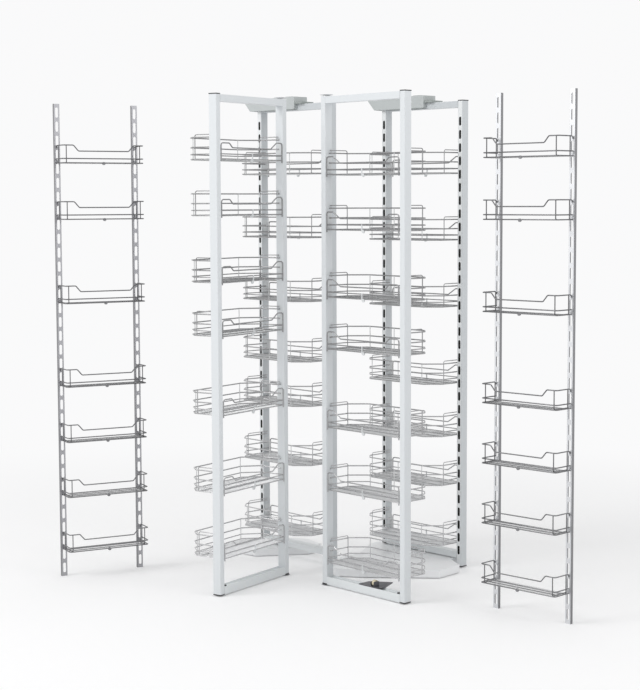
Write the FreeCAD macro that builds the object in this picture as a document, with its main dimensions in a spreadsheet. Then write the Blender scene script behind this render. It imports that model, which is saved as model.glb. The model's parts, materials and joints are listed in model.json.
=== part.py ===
import FreeCAD, Part
import os
import Sketcher
from FreeCAD import Vector

os.makedirs("parts", exist_ok=True)

# Driving sizes. Lengths are in mm, names that end in _turn are degrees seen from above.
SIZES = {
    # where the middle of the whole floor plan lies, taken away from every place below
    "plan_mid_x": -77.04,
    "plan_mid_y": 105.63,
    # pivot of each swing frame and the way it points when the unit is pulled right out
    "front_left_x": -150, "front_left_y": 243, "front_left_turn": -124,
    "front_right_x": 28, "front_right_y": 73, "front_right_turn": -47.8,
    "rear_left_x": -239, "rear_left_y": 733, "rear_left_turn": -47.8,
    "rear_right_x": 285, "rear_right_y": 681, "rear_right_turn": -46.8,
    "rack_left_x": -1034, "rack_left_y": 244, "rack_left_turn": 27.7,
    "rack_right_x": 649, "rack_right_y": -311, "rack_right_turn": -44.6,
    # the post spacing and frame height for which the plan and the levels were measured
    "plan_drawn_spacing": 427,
    "levels_drawn_high": 1900,
    # rectangular tube frames
    "frame_high": 1900,
    "floor_gap": 4,
    "tube_width": 25,
    "tube_deep": 36,
    "tube_wall": 1.5,
    "post_spacing": 427,
    "rail_high": 26,
    "track_high": 6,
    "track_wall": 3,
    "stop_long": 16,
    "cap_thick": 4,
    "cap_plug": 8,
    "cap_ease": 0.25,
    "top_rail_drop": 4,
    # hook slots of the rear posts
    "slot_first": 73,
    "slot_last": 85,
    "slot_count": 34,
    "slot_long": 32,
    "slot_wide": 6,
    # floor bases and their pivots
    "base_high": 35,
    "plinth_high": 4,
    "plinth_inset": 6,
    "pin_radius": 5,
    "pin_ease": 0.2,
    "hinge_gap": 4,
    "flange_long": 52,
    "flange_deep": 32,
    "flange_thick": 3,
    "flange_hole_spacing": 38,
    "flange_hole_radius": 2.25,
    # housing over the head of each rear frame
    "box_back": 80,
    "box_front": 242,
    "box_half_deep": 36,
    "box_drop": 24,
    "box_rise": 26,
    "box_wall": 3,
    "box_bevel": 40,
    "slide_long": 43,
    "slide_thick": 8,
    # wire baskets of the frames
    "wire": 5,
    "basket_deep": 160,
    "basket_cut": 58,
    "basket_nick": 38,
    "floor_thick": 4,
    "floor_rim": 6,
    "rail_level": 85,
    "shoulder_level": 69,
    "dip_level": 46,
    "dip_start": 38,
    "dip_foot": 108,
    "dip_toe": 316,
    "dip_end": 345,
    # wire baskets of the door racks
    "rack_spacing": 325,
    "rack_high": 1883,
    "upright_wide": 22,
    "upright_deep": 12,
    "upright_wall": 2,
    "fixing_low": 60,
    "fixing_high": 63,
    "fixing_count": 2,
    "fixing_radius": 2.5,
    "door_basket_deep": 92,
    "door_basket_over": 1.5,
    "door_shoulder_level": 71,
    "door_dip_level": 48,
    "door_dip_in": 42,
    "door_dip_slope": 20,
    "door_first": 109,
    "door_pitch": 55,
    # roller bracket on the foot of the right front frame
    "roller_along": 268,
    "roller_lift": 12.8,
    "roller_radius": 11.5,
    "roller_wide": 13,
    "axle_radius": 3,
    "lug_thick": 3,
    "lug_gap": 0.5,
    "bracket_thick": 4,
    "bracket_back": 92,
    "bracket_side": 74,
}

# Height of each basket's underside, lowest first.
TIERS = {
    "front_left": (138, 389, 688, 988, 1191, 1443, 1654),
    "front_right": (89, 376, 621, 926, 1127, 1386, 1596),
    "rear_left": (131, 421, 664, 846, 1091, 1349, 1607),
    "rear_right": (98, 345, 545, 758, 1070, 1338, 1605),
}

# Hook slots between the lowest door basket and each one above it.
DOOR_STEPS = (0, 4, 8, 12, 18, 24, 28)

# Floor plan of each base: along its rear frame from the hinge, and back from it.
BASES = {
    "rear_left": ((22, -142), (93, -135), (217, 66), (203, 141), (85, 169), (-42, 84), (-65, -37)),
    "rear_right": ((197, -497), (287, -432), (512, -221), (499, -92), (394, -32), (394, 31),
                   (65, 59), (-55, 44), (-50, -50), (56, -222), (77, -431)),
}

for frame, levels in TIERS.items():
    for number, level in enumerate(levels, 1):
        SIZES[f"{frame}_tier_{number}"] = level
for number, steps in enumerate(DOOR_STEPS, 1):
    SIZES[f"door_step_{number}"] = steps
for frame, corners in BASES.items():
    for number, (along, back) in enumerate(corners, 1):
        SIZES[f"{frame}_base_along_{number}"] = along
        SIZES[f"{frame}_base_back_{number}"] = back

doc = FreeCAD.newDocument("pull_out_larder")
sheet = doc.addObject("Spreadsheet::Sheet", "Sizes")
for row, (name, value) in enumerate(SIZES.items(), 1):
    sheet.set(f"A{row}", name)
    sheet.set(f"B{row}", str(value))
    sheet.setAlias(f"B{row}", name)
doc.recompute()

TUBE_X = "Sizes.tube_width / 2"
TUBE_Y = "Sizes.tube_deep / 2"
SPAN = "(Sizes.post_spacing - Sizes.tube_width)"
PLAN = "Sizes.post_spacing / Sizes.plan_drawn_spacing"
LEVELS = "Sizes.frame_high / Sizes.levels_drawn_high"
BOX_LOW = "(Sizes.frame_high - Sizes.box_drop)"
BOX_TOP = "(Sizes.frame_high + Sizes.box_rise)"


# ---------------------------------------------------------------- sketches and features

def value(text):
    """What an expression comes to at the present sizes."""
    return float(sheet.evalExpression(text))


def new_sketch(body, name, role, offset=None):
    sketch = body.newObject("Sketcher::SketchObject", name)
    base_plane = [item for item in body.Origin.OriginFeatures if item.Role == role][0]
    sketch.AttachmentSupport = (base_plane, [""])
    sketch.MapMode = "FlatFace"
    if offset:
        sketch.setExpression("AttachmentOffset.Base.z", offset)
    return sketch


def bind(sketch, constraint, text):
    sketch.setExpression(f"Constraints[{sketch.addConstraint(constraint)}]", text)


def add_lines(sketch, points, closed=True):
    """A chain of lines whose corners are bound to expressions."""
    spots = [Vector(value(along), value(up), 0) for along, up in points]
    first = sketch.GeometryCount
    lines = len(points) if closed else len(points) - 1
    for i in range(lines):
        sketch.addGeometry(Part.LineSegment(spots[i], spots[(i + 1) % len(spots)]), False)
    for i in range(lines - 1):
        sketch.addConstraint(Sketcher.Constraint("Coincident", first + i, 2, first + i + 1, 1))
    if closed:
        sketch.addConstraint(Sketcher.Constraint("Coincident", first + lines - 1, 2, first, 1))
    for i, (along, up) in enumerate(points):
        edge, end = (first + i, 1) if i < lines else (first + lines - 1, 2)
        bind(sketch, Sketcher.Constraint("DistanceX", -1, 1, edge, end, spots[i].x), along)
        bind(sketch, Sketcher.Constraint("DistanceY", -1, 1, edge, end, spots[i].y), up)


def add_rectangle(sketch, left, right, low, top):
    add_lines(sketch, ((left, low), (right, low), (right, top), (left, top)))


def add_circle(sketch, along, up, radius):
    circle = Part.Circle(Vector(value(along), value(up), 0), Vector(0, 0, 1), value(radius))
    edge = sketch.addGeometry(circle)
    bind(sketch, Sketcher.Constraint("DistanceX", -1, 1, edge, 3, value(along)), along)
    bind(sketch, Sketcher.Constraint("DistanceY", -1, 1, edge, 3, value(up)), up)
    bind(sketch, Sketcher.Constraint("Radius", edge, value(radius)), radius)


def new_body(name):
    return doc.addObject("PartDesign::Body", name)


def pad(body, sketch, length, name="pad", reverse=False):
    feature = body.newObject("PartDesign::Pad", name)
    feature.Profile = sketch
    feature.setExpression("Length", length)
    feature.Reversed = reverse
    doc.recompute()
    return feature


def cut(body, sketch, length=None, name="cut", reverse=False, both=False):
    """A pocket to a bound depth, or through everything."""
    feature = body.newObject("PartDesign::Pocket", name)
    feature.Profile = sketch
    if length:
        feature.setExpression("Length", length)
    else:
        feature.Type = "ThroughAll"
    feature.Reversed = reverse
    feature.Midplane = both
    doc.recompute()
    return feature


def repeat(body, feature, direction, length, count, name="row"):
    pattern = body.newObject("PartDesign::LinearPattern", name)
    pattern.Originals = [feature]
    pattern.Direction = ([item for item in body.Origin.OriginFeatures if item.Role == direction][0], [""])
    pattern.setExpression("Length", length)
    pattern.setExpression("Occurrences", count)
    body.Tip = pattern
    doc.recompute()
    return pattern


def bend(body, name, role, offset, route, section_role, section):
    """A square wire swept along a bent route with mitred corners."""
    path = new_sketch(body, f"{name}_route", role, offset)
    add_lines(path, route, closed=False)
    profile = new_sketch(body, f"{name}_wire", section_role)
    add_rectangle(profile, *section)
    doc.recompute()
    pipe = body.newObject("PartDesign::AdditivePipe", name)
    pipe.Profile = profile
    pipe.Spine = (path, [])
    pipe.Transition = "Right corner"
    doc.recompute()
    return pipe


# ---------------------------------------------------------------- placing copies

def place(shape, along="0", back="0", up="0", turn="0", axis=(0, 0, 1), name="copy"):
    """A live copy of a shape, moved and turned by bound values."""
    copy = doc.addObject("Part::Compound", name)
    copy.Links = shape if isinstance(shape, list) else [shape]
    copy.Placement.Rotation = FreeCAD.Rotation(Vector(*axis), 1)
    copy.setExpression("Placement.Rotation.Angle", turn)
    copy.setExpression("Placement.Base.x", along)
    copy.setExpression("Placement.Base.y", back)
    copy.setExpression("Placement.Base.z", up)
    return copy


def stand(frame, shapes, square=False):
    """Puts shapes drawn from a frame's pivot at its place in the plan, turned with it or left square."""
    return place(shapes, f"(Sizes.{frame}_x - Sizes.plan_mid_x) * {PLAN}",
                 f"(Sizes.{frame}_y - Sizes.plan_mid_y) * {PLAN}",
                 turn="0" if square else f"Sizes.{frame}_turn")


NODES = {}


def node(name, shape):
    shape.Label = name
    NODES[name] = shape


# ---------------------------------------------------------------- frames

def hollow_post(name, low):
    """An upright tube from the top of its lower cap to the foot of its upper cap."""
    body = new_body(name)
    sketch = new_sketch(body, f"{name}_section", "XY_Plane", f"{low} + Sizes.cap_thick")
    add_rectangle(sketch, f"-{TUBE_X}", TUBE_X, f"-{TUBE_Y}", TUBE_Y)
    add_rectangle(sketch, f"Sizes.tube_wall - {TUBE_X}", f"{TUBE_X} - Sizes.tube_wall",
                  f"Sizes.tube_wall - {TUBE_Y}", f"{TUBE_Y} - Sizes.tube_wall")
    pad(body, sketch, f"Sizes.frame_high - ({low}) - 2 * Sizes.cap_thick")
    return body


def slotted_post(name, low):
    """The same tube with a row of hook slots through the wall that faces the viewer."""
    body = hollow_post(name, low)
    sketch = new_sketch(body, f"{name}_slot", "XZ_Plane", TUBE_Y)
    add_rectangle(sketch, "-Sizes.slot_wide / 2", "Sizes.slot_wide / 2",
                  "Sizes.slot_first - Sizes.slot_long / 2", "Sizes.slot_first + Sizes.slot_long / 2")
    slot = cut(body, sketch, "2 * Sizes.tube_wall", "slot", both=True)
    repeat(body, slot, "Z_Axis", "Sizes.frame_high - Sizes.slot_first - Sizes.slot_last", "Sizes.slot_count")
    return body


def hollow_rail(name, low, track=False):
    """A level tube between two posts, with an open track on top where asked."""
    body = new_body(name)
    sketch = new_sketch(body, f"{name}_section", "YZ_Plane", TUBE_X)
    top = f"{low} + Sizes.rail_high"
    outline = [(f"-{TUBE_Y}", low), (TUBE_Y, low)]
    if track:
        lip = f"{top} + Sizes.track_high"
        inner = f"{TUBE_Y} - Sizes.track_wall"
        outline += [(TUBE_Y, lip), (inner, lip), (inner, top)]
        outline += [(f"-({inner})", top), (f"-({inner})", lip), (f"-{TUBE_Y}", lip)]
    else:
        outline += [(TUBE_Y, top), (f"-{TUBE_Y}", top)]
    add_lines(sketch, outline)
    add_rectangle(sketch, f"Sizes.tube_wall - {TUBE_Y}", f"{TUBE_Y} - Sizes.tube_wall",
                  f"{low} + Sizes.tube_wall", f"{top} - Sizes.tube_wall")
    pad(body, sketch, SPAN)
    return body


def end_cap(name, pinned):
    """A cap that plugs the foot of a post, bored for the pivot pin where asked."""
    body = new_body(name)
    sketch = new_sketch(body, f"{name}_plate", "XY_Plane")
    add_rectangle(sketch, f"-{TUBE_X}", TUBE_X, f"-{TUBE_Y}", TUBE_Y)
    pad(body, sketch, "Sizes.cap_thick")
    inset = "(Sizes.tube_wall + Sizes.cap_ease)"
    sketch = new_sketch(body, f"{name}_plug", "XY_Plane", "Sizes.cap_thick")
    add_rectangle(sketch, f"{inset} - {TUBE_X}", f"{TUBE_X} - {inset}",
                  f"{inset} - {TUBE_Y}", f"{TUBE_Y} - {inset}")
    pad(body, sketch, "Sizes.cap_plug", "plug")
    if pinned:
        sketch = new_sketch(body, f"{name}_bore", "XY_Plane")
        add_circle(sketch, "0", "0", "Sizes.pin_radius + Sizes.pin_ease")
        cut(body, sketch, None, "bore", reverse=True)
    return body


def track_stop():
    """The dark stop in the end of the lower track."""
    body = new_body("track_stop")
    sketch = new_sketch(body, "stop_plan", "XY_Plane", "Sizes.floor_gap + Sizes.rail_high")
    inner = f"({TUBE_Y} - Sizes.track_wall)"
    add_rectangle(sketch, f"Sizes.post_spacing - {TUBE_X} - Sizes.stop_long",
                  f"Sizes.post_spacing - {TUBE_X}", f"-{inner}", inner)
    pad(body, sketch, "Sizes.track_high + Sizes.cap_thick")
    return body


def flat_flange():
    """A screw-on flange with the pivot pin of a front frame standing on it."""
    body = new_body("pivot_flange")
    sketch = new_sketch(body, "flange_plan", "XY_Plane")
    add_rectangle(sketch, "-Sizes.flange_long / 2", "Sizes.flange_long / 2",
                  "-Sizes.flange_deep / 2", "Sizes.flange_deep / 2")
    pad(body, sketch, "Sizes.flange_thick")
    sketch = new_sketch(body, "flange_pin", "XY_Plane", "Sizes.flange_thick")
    add_circle(sketch, "0", "0", "Sizes.pin_radius")
    pad(body, sketch, "Sizes.floor_gap - Sizes.flange_thick + Sizes.cap_thick + Sizes.cap_plug", "pin")
    sketch = new_sketch(body, "flange_holes", "XY_Plane")
    for side in ("-", ""):
        add_circle(sketch, f"{side}Sizes.flange_hole_spacing / 2", "0", "Sizes.flange_hole_radius")
    cut(body, sketch, None, "holes", reverse=True)
    return body


def hinge_pin():
    """The plain pin a rear frame turns on, used at its foot and at its head."""
    body = new_body("hinge_pin")
    sketch = new_sketch(body, "pin_section", "XY_Plane")
    add_circle(sketch, "0", "0", "Sizes.pin_radius")
    pad(body, sketch, "Sizes.hinge_gap + Sizes.cap_thick + Sizes.cap_plug")
    return body


def top_housing():
    """The housing over the head of a rear frame: bevelled nose, open underside, slide end."""
    body = new_body("top_housing")
    sketch = new_sketch(body, "housing_side", "XZ_Plane", "-Sizes.box_half_deep")
    add_lines(sketch, (("Sizes.box_bevel - Sizes.box_back", BOX_LOW), ("Sizes.box_front", BOX_LOW),
                       ("Sizes.box_front", BOX_TOP), ("-Sizes.box_back", BOX_TOP),
                       ("-Sizes.box_back", f"{BOX_TOP} - Sizes.slide_thick")))
    pad(body, sketch, "2 * Sizes.box_half_deep")
    inner = "(Sizes.box_half_deep - Sizes.box_wall)"
    sketch = new_sketch(body, "housing_inside", "XY_Plane", BOX_LOW)
    add_rectangle(sketch, "Sizes.box_bevel + Sizes.box_wall - Sizes.box_back",
                  "Sizes.box_front - Sizes.box_wall", f"-{inner}", inner)
    cut(body, sketch, f"{BOX_TOP} - {BOX_LOW} - Sizes.box_wall", "inside", reverse=True)
    rail_top = "(Sizes.frame_high - Sizes.top_rail_drop)"
    sketch = new_sketch(body, "housing_mouth", "YZ_Plane", "Sizes.box_front")
    add_rectangle(sketch, f"-{TUBE_Y}", TUBE_Y, BOX_LOW, rail_top)
    cut(body, sketch, "2 * Sizes.box_wall", "mouth")
    sketch = new_sketch(body, "housing_saddle", "XY_Plane", rail_top)
    add_rectangle(sketch, "2 * Sizes.tube_width", "Sizes.box_front - 2 * Sizes.tube_width",
                  f"-{TUBE_Y}", TUBE_Y)
    pad(body, sketch, f"{BOX_TOP} - {rail_top}", "saddle")
    sketch = new_sketch(body, "housing_slide", "YZ_Plane", "Sizes.box_front")
    add_rectangle(sketch, f"-{inner}", inner, f"{rail_top}", f"{rail_top} + Sizes.slide_thick")
    pad(body, sketch, "Sizes.slide_long", "slide")
    sketch = new_sketch(body, "housing_bore", "XY_Plane", BOX_LOW)
    add_circle(sketch, "0", "0", "Sizes.pin_radius + Sizes.pin_ease")
    cut(body, sketch, None, "bore", reverse=True)
    return body


def floor_base(frame):
    """A low floor base with a set-back plinth under its edge."""
    body = new_body(f"{frame}_base_body")
    corners = [(f"(Sizes.{frame}_base_along_{i} * {PLAN})", f"(Sizes.{frame}_base_back_{i} * {PLAN})")
               for i in range(1, len(BASES[frame]) + 1)]
    mid_along = f"({' + '.join(along for along, back in corners)}) / {len(corners)}"
    mid_back = f"({' + '.join(back for along, back in corners)}) / {len(corners)}"
    sketch = new_sketch(body, f"{frame}_base_plan", "XY_Plane", "Sizes.plinth_high")
    add_lines(sketch, corners)
    pad(body, sketch, "Sizes.base_high - Sizes.plinth_high")
    shrink = "(Sizes.plinth_inset / 100)"
    sketch = new_sketch(body, f"{frame}_plinth_plan", "XY_Plane")
    add_lines(sketch, [(f"{along} + ({mid_along} - {along}) * {shrink}",
                        f"{back} + ({mid_back} - {back}) * {shrink}") for along, back in corners])
    pad(body, sketch, "Sizes.plinth_high", "plinth")
    return body


# ---------------------------------------------------------------- baskets

def frame_basket():
    """The wire basket of a swing frame, from the inner face of the pivot post, body behind the frame."""
    body = new_body("frame_basket")
    half = "Sizes.wire / 2"
    rim = "Sizes.floor_rim"
    deep = "Sizes.basket_deep"
    slant = "Sizes.basket_cut"
    nick = "Sizes.basket_nick"
    sketch = new_sketch(body, "basket_floor", "XY_Plane")
    add_lines(sketch, (("0", f"-{half}"), (SPAN, f"-{half}"), (SPAN, f"{deep} - {nick}"),
                       (f"{SPAN} - {nick}", deep), (slant, deep), ("0", f"{deep} - {slant}")))
    add_rectangle(sketch, rim, f"{SPAN} - {rim}", rim, f"({deep} - {rim}) / 2")
    add_lines(sketch, ((rim, f"({deep} + {rim}) / 2"), (f"{SPAN} - {rim}", f"({deep} + {rim}) / 2"),
                       (f"{SPAN} - {rim}", f"{deep} - {nick} - {rim} / 2"),
                       (f"{SPAN} - {nick} - {rim} / 2", f"{deep} - {rim}"),
                       (f"{slant} + {rim} / 2", f"{deep} - {rim}"), (rim, f"{deep} - {slant} - {rim} / 2")))
    pad(body, sketch, "Sizes.floor_thick", "floor")
    back = f"({deep} - {half})"
    right = f"({SPAN} - {half})"
    sketch = new_sketch(body, "basket_uprights", "XY_Plane")
    for along, depth in ((half, "0"), (right, "0"), (half, f"({back} - {slant})"), (slant, back),
                         (f"({right} - {nick})", back)):
        add_rectangle(sketch, f"{along} - {half}", f"{along} + {half}",
                      f"{depth} - {half}", f"{depth} + {half}")
    pad(body, sketch, "Sizes.rail_level", "uprights")
    level = "Sizes.rail_level"
    bend(body, "back_rail", "XY_Plane", level,
         ((half, "0"), (half, f"{back} - {slant}"), (slant, back), (f"{right} - {nick}", back),
          (right, f"{back} - {nick}"), (right, "0")),
         "XZ_Plane", ("0", "Sizes.wire", f"{level} - {half}", f"{level} + {half}"))
    bend(body, "front_rail", "XZ_Plane", None,
         (("0", "Sizes.shoulder_level"), ("Sizes.dip_start", "Sizes.shoulder_level"),
          ("Sizes.dip_foot", "Sizes.dip_level"), ("Sizes.dip_toe", "Sizes.dip_level"),
          ("Sizes.dip_end", "Sizes.shoulder_level"), (SPAN, "Sizes.shoulder_level")),
         "YZ_Plane", (f"-{half}", half, f"Sizes.shoulder_level - {half}", f"Sizes.shoulder_level + {half}"))
    return body


def door_basket():
    """The shallow basket of a door rack, standing in front of its two uprights."""
    body = new_body("door_basket")
    half = "Sizes.wire / 2"
    left = f"(-{half} - Sizes.door_basket_over)"
    right = f"(Sizes.rack_spacing + {half} + Sizes.door_basket_over)"
    near = "(-Sizes.door_basket_deep)"
    far = "(-Sizes.upright_deep / 2)"
    sketch = new_sketch(body, "door_floor", "XY_Plane")
    add_rectangle(sketch, f"{left} - {half}", f"{right} + {half}", near, far)
    rim = "Sizes.floor_rim"
    add_rectangle(sketch, f"{left} + {rim}", f"{right} - {rim}", f"{near} + {rim}", f"{far} - {rim}")
    pad(body, sketch, "Sizes.floor_thick", "floor")
    level = "Sizes.door_shoulder_level"
    sketch = new_sketch(body, "door_uprights", "XY_Plane")
    for side in (left, right):
        for depth in (f"{near} + {half}", f"{far} - {half}"):
            add_rectangle(sketch, f"{side} - {half}", f"{side} + {half}",
                          f"{depth} - {half}", f"{depth} + {half}")
    pad(body, sketch, level, "uprights")
    sketch = new_sketch(body, "door_sides", "XY_Plane", f"{level} - {half}")
    for side in (left, right):
        add_rectangle(sketch, f"{side} - {half}", f"{side} + {half}", near, far)
    pad(body, sketch, "Sizes.wire", "sides")
    bend(body, "front_rail", "XZ_Plane", f"-({near} + {half})",
         ((left, level), (f"{left} + Sizes.door_dip_in", level),
          (f"{left} + Sizes.door_dip_in + Sizes.door_dip_slope", "Sizes.door_dip_level"),
          (f"{right} - Sizes.door_dip_in - Sizes.door_dip_slope", "Sizes.door_dip_level"),
          (f"{right} - Sizes.door_dip_in", level), (right, level)),
         "YZ_Plane", (near, f"{near} + Sizes.wire", f"{level} - {half}", f"{level} + {half}"))
    return body


def rack_upright():
    """A door rack upright: a channel with its open side on the door and screw holes through its face."""
    body = new_body("rack_upright")
    wide = "Sizes.upright_wide / 2"
    deep = "Sizes.upright_deep / 2"
    wall = "Sizes.upright_wall"
    sketch = new_sketch(body, "upright_section", "XY_Plane")
    add_lines(sketch, ((f"-{wide}", f"-{deep}"), (wide, f"-{deep}"), (wide, deep), (f"{wide} - {wall}", deep),
                       (f"{wide} - {wall}", f"{wall} - {deep}"), (f"{wall} - {wide}", f"{wall} - {deep}"),
                       (f"{wall} - {wide}", deep), (f"-{wide}", deep)))
    pad(body, sketch, "Sizes.rack_high")
    sketch = new_sketch(body, "upright_hole", "XZ_Plane", deep)
    add_circle(sketch, "0", "Sizes.fixing_low", "Sizes.fixing_radius")
    hole = cut(body, sketch, "2 * Sizes.upright_deep", "hole", both=True)
    repeat(body, hole, "Z_Axis", "Sizes.rack_high - Sizes.fixing_low - Sizes.fixing_high", "Sizes.fixing_count")
    return body


# ---------------------------------------------------------------- roller bracket

def roller_parts():
    """The steel bracket on the lower track and the roller that turns between its lugs."""
    along = "Sizes.roller_along"
    low = "(Sizes.floor_gap + Sizes.rail_high + Sizes.track_high)"
    axle_up = f"({low} + Sizes.bracket_thick + Sizes.roller_lift)"
    half = "Sizes.roller_wide / 2"
    body = new_body("bracket")
    sketch = new_sketch(body, "bracket_plate", "XY_Plane", low)
    add_lines(sketch, ((f"{along} - Sizes.bracket_side", f"-{TUBE_Y}"),
                       (f"{along} + Sizes.tube_deep", f"-{TUBE_Y}"), (f"{along} + Sizes.tube_deep", TUBE_Y), (f"{along}", "Sizes.bracket_back"),
                       (f"{along} - Sizes.bracket_side", "Sizes.tube_deep")))
    pad(body, sketch, "Sizes.bracket_thick")
    for side in ("", "-"):
        sketch = new_sketch(body, "bracket_lug", "YZ_Plane",
                            f"{along} {side or '+'} ({half} + Sizes.lug_gap)" if side else
                            f"{along} + ({half} + Sizes.lug_gap)")
        add_rectangle(sketch, f"-{TUBE_Y}", f"{TUBE_Y} / 2", low, f"{axle_up} + 2 * Sizes.axle_radius")
        pad(body, sketch, "Sizes.lug_thick", "lug", reverse=bool(side))
    sketch = new_sketch(body, "bracket_axle", "YZ_Plane", f"{along} - {half} - Sizes.lug_gap")
    add_circle(sketch, "-Sizes.axle_radius", axle_up, "Sizes.axle_radius")
    pad(body, sketch, f"2 * ({half} + Sizes.lug_gap)", "axle")
    wheel = new_body("roller")
    sketch = new_sketch(wheel, "roller_section", "YZ_Plane", f"{along} - {half}")
    add_circle(sketch, "-Sizes.axle_radius", axle_up, "Sizes.roller_radius")
    add_circle(sketch, "-Sizes.axle_radius", axle_up, "Sizes.axle_radius + Sizes.pin_ease")
    pad(wheel, sketch, "Sizes.roller_wide")
    return body, wheel


# ---------------------------------------------------------------- assembly

FRONTS = ("front_left", "front_right")
REARS = ("rear_left", "rear_right")
LOW_HINGE = "Sizes.base_high + Sizes.hinge_gap"
RAIL_TOP = "Sizes.frame_high - Sizes.top_rail_drop - Sizes.rail_high"

basket = frame_basket()
basket_other_hand = doc.addObject("Part::Mirroring", "frame_basket_other_hand")
basket_other_hand.Source = basket
basket_other_hand.Normal = (0, 1, 0)

post = hollow_post("front_post", "Sizes.floor_gap")
hinge_post = slotted_post("rear_hinge_post", LOW_HINGE)
outer_post = slotted_post("rear_outer_post", "Sizes.floor_gap")
top_rail = hollow_rail("top_rail", RAIL_TOP)
front_foot_rail = hollow_rail("front_foot_rail", "Sizes.floor_gap", track=True)
rear_foot_rail = hollow_rail("rear_foot_rail", LOW_HINGE)
plain_cap = end_cap("plain_cap", pinned=False)
pinned_cap = end_cap("pinned_cap", pinned=True)
stop = track_stop()
housing = top_housing()
flange = flat_flange()
pin = hinge_pin()


def capped(low, head_cap):
    """The four end caps of a frame, the pivot post's foot bored for its pin."""
    high = "Sizes.frame_high"
    return [place(pinned_cap, up=low), place(head_cap, up=high, turn="180", axis=(1, 0, 0)),
            place(plain_cap, "Sizes.post_spacing", up="Sizes.floor_gap"),
            place(plain_cap, "Sizes.post_spacing", up=high, turn="180", axis=(1, 0, 0))]


for frame in FRONTS:
    node(f"{frame}_pivot_post", stand(frame, post))
    node(f"{frame}_free_post", stand(frame, place(post, "Sizes.post_spacing")))
    node(f"{frame}_top_rail", stand(frame, top_rail))
    node(f"{frame}_foot_rail", stand(frame, front_foot_rail))
    node(f"{frame}_caps", stand(frame, capped("Sizes.floor_gap", pinned_cap) + [stop]))

for frame in REARS:
    node(f"{frame}_hinge_post", stand(frame, hinge_post))
    node(f"{frame}_outer_post", stand(frame, place(outer_post, "Sizes.post_spacing")))
    node(f"{frame}_top_rail", stand(frame, top_rail))
    node(f"{frame}_foot_rail", stand(frame, rear_foot_rail))
    node(f"{frame}_caps", stand(frame, capped(LOW_HINGE, plain_cap)))
    node(f"{frame}_top_housing", stand(frame, housing))
    node(f"{frame}_floor_base", stand(frame, floor_base(frame)))

for frame in FRONTS + REARS:
    for number in range(1, len(TIERS[frame]) + 1):
        level = f"Sizes.{frame}_tier_{number} * {LEVELS}"
        if frame == "front_left":
            hung = place(basket_other_hand, TUBE_X, up=level)
        elif frame == "front_right":
            hung = place(basket, TUBE_X, up=level)
        else:
            hung = place(basket, f"Sizes.post_spacing - {TUBE_X}", up=level, turn="180")
        node(f"{frame}_basket_{number}", stand(frame, hung))

for side in ("left", "right"):
    front, rear = f"front_{side}", f"rear_{side}"
    flanges = [flange, place(flange, up="Sizes.frame_high + Sizes.floor_gap", turn="180", axis=(1, 0, 0))]
    pins = [place(pin, up="Sizes.base_high"),
            place(pin, up=f"{BOX_TOP} + Sizes.hinge_gap", turn="180", axis=(1, 0, 0))]
    node(f"{side}_pivot_fittings", place([stand(front, flanges, square=True), stand(rear, pins)]))

upright = rack_upright()
shelf = door_basket()
for side in ("left", "right"):
    rack = f"rack_{side}"
    node(f"{rack}_uprights", stand(rack, [upright, place(upright, "Sizes.rack_spacing")]))
    shelves = [place(shelf, up=f"Sizes.door_first + Sizes.door_pitch * Sizes.door_step_{number}")
               for number in range(1, len(DOOR_STEPS) + 1)]
    node(f"{rack}_baskets", stand(rack, shelves))

bracket, roller = roller_parts()
node("roller_bracket", stand("front_right", bracket))
node("guide_roller", stand("front_right", roller))

doc.recompute()
for item in doc.Objects:
    if "Invalid" in item.State or "Error" in item.State:
        raise RuntimeError(f"{item.Label} did not build: {item.State}")
for name, shape in NODES.items():
    if shape.Shape.isNull() or not shape.Shape.isValid():
        raise RuntimeError(f"{name} has no valid shape")
    shape.Shape.exportStep(f"parts/{name}.step")
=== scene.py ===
import json
import math

import bmesh
import bpy
from mathutils import Matrix, Vector


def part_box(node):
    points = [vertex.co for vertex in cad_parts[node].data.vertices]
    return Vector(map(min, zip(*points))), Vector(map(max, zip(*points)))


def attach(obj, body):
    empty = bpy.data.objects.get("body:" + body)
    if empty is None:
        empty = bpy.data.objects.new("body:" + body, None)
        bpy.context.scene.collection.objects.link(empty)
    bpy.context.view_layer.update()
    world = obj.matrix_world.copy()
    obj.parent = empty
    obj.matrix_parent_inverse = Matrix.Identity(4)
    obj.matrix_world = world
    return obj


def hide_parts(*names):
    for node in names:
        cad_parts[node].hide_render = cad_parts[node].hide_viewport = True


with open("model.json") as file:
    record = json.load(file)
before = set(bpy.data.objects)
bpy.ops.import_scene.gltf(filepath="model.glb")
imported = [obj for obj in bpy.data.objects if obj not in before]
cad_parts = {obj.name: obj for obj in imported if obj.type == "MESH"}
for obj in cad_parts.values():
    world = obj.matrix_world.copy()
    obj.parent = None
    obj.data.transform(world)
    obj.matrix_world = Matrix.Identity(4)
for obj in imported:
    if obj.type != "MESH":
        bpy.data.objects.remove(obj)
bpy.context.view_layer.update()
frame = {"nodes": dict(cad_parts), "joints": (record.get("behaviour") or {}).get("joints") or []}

# Sizes in metres, angles in degrees. A frame's own axes start at its pivot, and a rack's at its
# left upright: x runs along the baskets, y to the back of them and z up.
PLAN_MID = Vector((-0.07704, 0.10563))      # middle of the floor plan, in the camera's plan

FRAME_TURN = {"front_left": -124.0, "front_right": -47.8, "rear_left": -47.8, "rear_right": -46.8}
RACK_TURN = {"rack_left": 27.7, "rack_right": -44.6}
RACK_FOOT = {"rack_left": (-1.034, 0.244), "rack_right": (0.649, -0.311)}
TIERS = 7

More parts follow.
